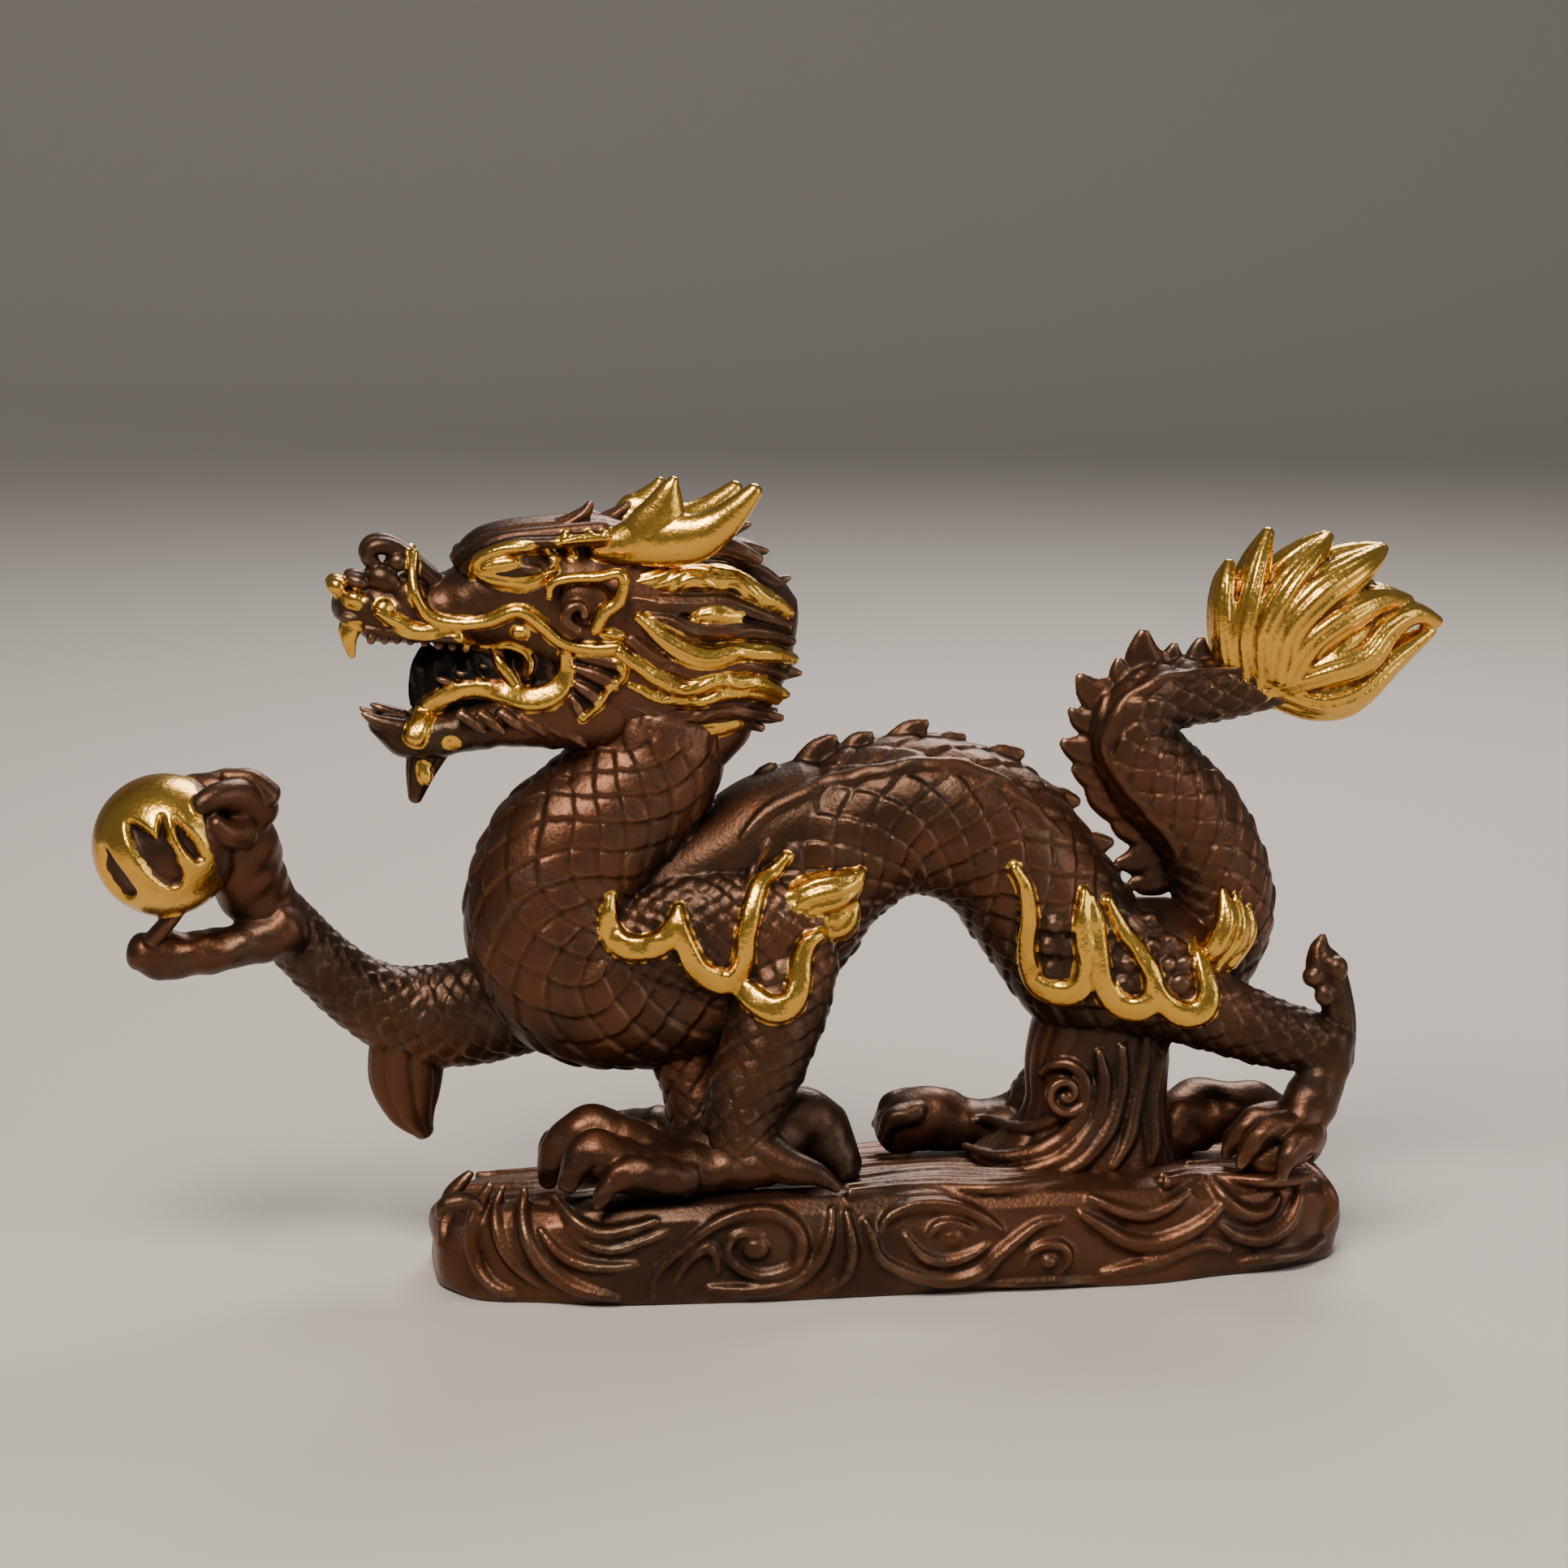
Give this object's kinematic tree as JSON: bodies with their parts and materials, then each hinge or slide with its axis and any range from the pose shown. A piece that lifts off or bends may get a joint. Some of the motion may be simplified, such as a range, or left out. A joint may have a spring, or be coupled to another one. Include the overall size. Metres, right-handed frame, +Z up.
{
  "type": "dragon sculpture on cloud plinth",
  "caption": "Cast dragon striding over a cloud plinth, head turned to its front, one forepaw raised and holding a ball, arched back, tail tuft held high.",
  "frame": {"origin": "centre of the plinth's flat underside", "axes": "+Z up, -X towards the dragon's head and the raised ball, -Y towards the dragon's left side, the side it is shown from"},
  "size_m": [0.2721, 0.0608, 0.1616],
  "materials": {
    "patinated_brass": "dark brown patina, semi-gloss, rubbed through to polished yellow brass on the ball, horns, hair, moustache, jaw, flame borders and tail tuft"
  },
  "bodies": {
    "root": {"dragon_casting": "patinated_brass"}
  },
  "joints": []
}
